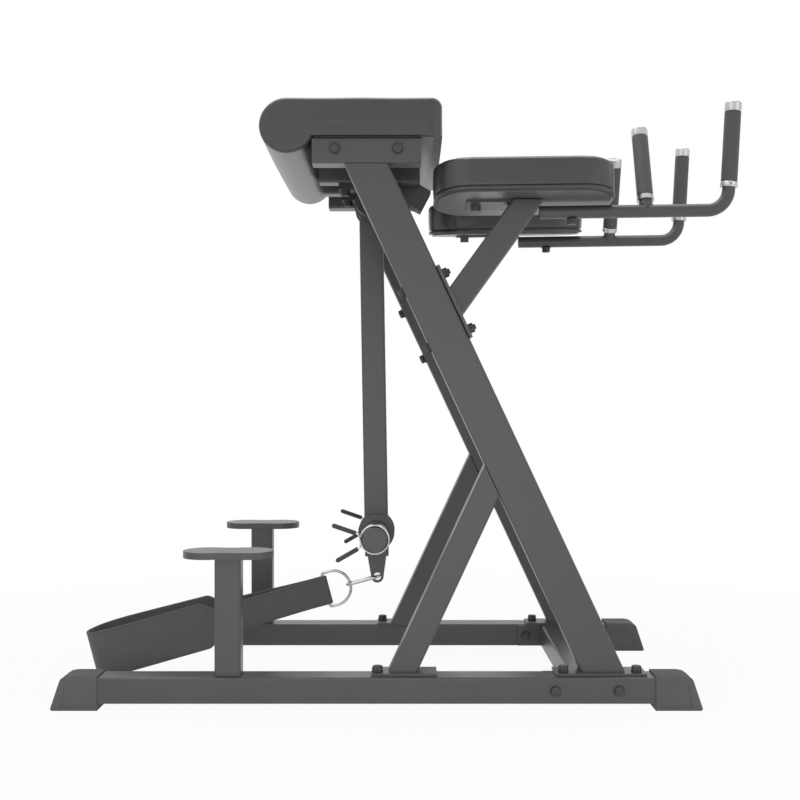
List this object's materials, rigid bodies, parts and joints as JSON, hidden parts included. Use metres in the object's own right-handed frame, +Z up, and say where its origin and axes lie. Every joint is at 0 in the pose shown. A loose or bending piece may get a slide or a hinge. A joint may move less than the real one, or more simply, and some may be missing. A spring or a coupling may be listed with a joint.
{
  "type": "reverse hyperextension machine",
  "caption": "Tube-frame reverse hyperextension bench with a torso pad and roll, forearm pads with handles, step plates, and a swinging pendulum with weight horns and an ankle strap.",
  "frame": {"origin": "On the floor, under the middle of the machine", "axes": "+X points to the handles at the head end, +Y is the user's left side, +Z is up"},
  "size_m": [1.3422, 0.644, 1.1725],
  "materials": {
    "frame_paint": "fine matt black-grey powder coat",
    "shoe_rubber": "matt moulded rubber",
    "grip_rubber": "matt textured rubber",
    "pad_vinyl": "satin upholstery vinyl",
    "pad_board": "black painted plywood",
    "bearing_iron": "black painted cast iron",
    "shaft_steel": "turned steel",
    "spring_steel": "bright plated wire",
    "link_steel": "bright plated steel",
    "grip_aluminium": "machined aluminium",
    "strap_webbing": "woven nylon webbing"
  },
  "bodies": {
    "frame": {"floor_rail_right": "frame_paint", "floor_rail_left": "frame_paint", "main_post_right": "frame_paint", "main_post_left": "frame_paint", "brace_right": "frame_paint", "brace_left": "frame_paint", "step_post_right": "frame_paint", "step_post_left": "frame_paint", "step_plate_right": "frame_paint", "step_plate_left": "frame_paint", "lower_crossbeam": "frame_paint", "upper_crossbeam": "frame_paint", "pad_beam_right": "frame_paint", "pad_beam_left": "frame_paint", "pivot_rail_right": "frame_paint", "pivot_rail_left": "frame_paint", "stop_arm": "frame_paint", "forearm_support_right": "frame_paint", "forearm_support_left": "frame_paint", "handle_bar_right": "frame_paint", "handle_bar_left": "frame_paint", "rear_shoe_right": "shoe_rubber", "rear_shoe_left": "shoe_rubber", "front_shoe_right": "shoe_rubber", "front_shoe_left": "shoe_rubber", "stop_buffer": "shoe_rubber", "outer_grip_right": "grip_rubber", "outer_grip_left": "grip_rubber", "inner_grip_right": "grip_rubber", "inner_grip_left": "grip_rubber", "torso_pad": "pad_vinyl", "forearm_pad_right": "pad_vinyl", "forearm_pad_left": "pad_vinyl", "torso_pad_board": "pad_board", "forearm_pad_board_right": "pad_board", "forearm_pad_board_left": "pad_board", "bearing_block_right": "bearing_iron", "bearing_block_left": "bearing_iron", "pivot_shaft": "shaft_steel", "outer_grip_sleeve_right": "grip_aluminium", "outer_grip_sleeve_left": "grip_aluminium", "inner_grip_sleeve_right": "grip_aluminium", "inner_grip_sleeve_left": "grip_aluminium"},
    "pendulum": {"pendulum_arm": "frame_paint", "strap_tongue": "frame_paint", "weight_horn_right": "frame_paint", "weight_horn_left": "frame_paint"},
    "collar_right": {"spring_collar_right": "spring_steel", "upper_collar_grip_right": "grip_rubber", "lower_collar_grip_right": "grip_rubber"},
    "collar_left": {"spring_collar_left": "spring_steel", "upper_collar_grip_left": "grip_rubber", "lower_collar_grip_left": "grip_rubber"},
    "carabiner": {"carabiner": "link_steel"},
    "gate": {"carabiner_gate": "link_steel"},
    "strap": {"d_ring": "link_steel", "ankle_strap": "strap_webbing"}
  },
  "joints": [
    {"name": "pendulum_swing", "type": "hinge", "parent": "frame", "child": "pendulum", "pos_m": [-0.06313, 0, 1], "axis": [0, 1, 0], "range_deg": [-58, 88]},
    {"name": "link_swing", "type": "hinge", "parent": "pendulum", "child": "carabiner", "pos_m": [-0.04533, 0, 0.2113], "axis": [0, 1, 0], "range_deg": [-90, 60]},
    {"name": "ring_swing", "type": "hinge", "parent": "carabiner", "child": "strap", "pos_m": [-0.11393, 0, 0.1929], "axis": [0, 1, 0], "range_deg": [0, 20]},
    {"name": "gate_swing", "type": "hinge", "parent": "carabiner", "child": "gate", "pos_m": [-0.09193, 0.012, 0.1988], "axis": [0.2588, 0, -0.9659], "range_deg": [0, 20], "stiffness_Nm_per_rad": 0.05},
    {"name": "collar_right_slide", "type": "slide", "parent": "pendulum", "child": "collar_right", "axis": [0, -1, 0], "range_m": [-0.11, 0.02]},
    {"name": "collar_left_slide", "type": "slide", "parent": "pendulum", "child": "collar_left", "axis": [0, 1, 0], "range_m": [-0.11, 0.02]}
  ],
  "couplings": [
    {"joint": "link_swing", "follows": "pendulum_swing", "ratio": -1}
  ]
}
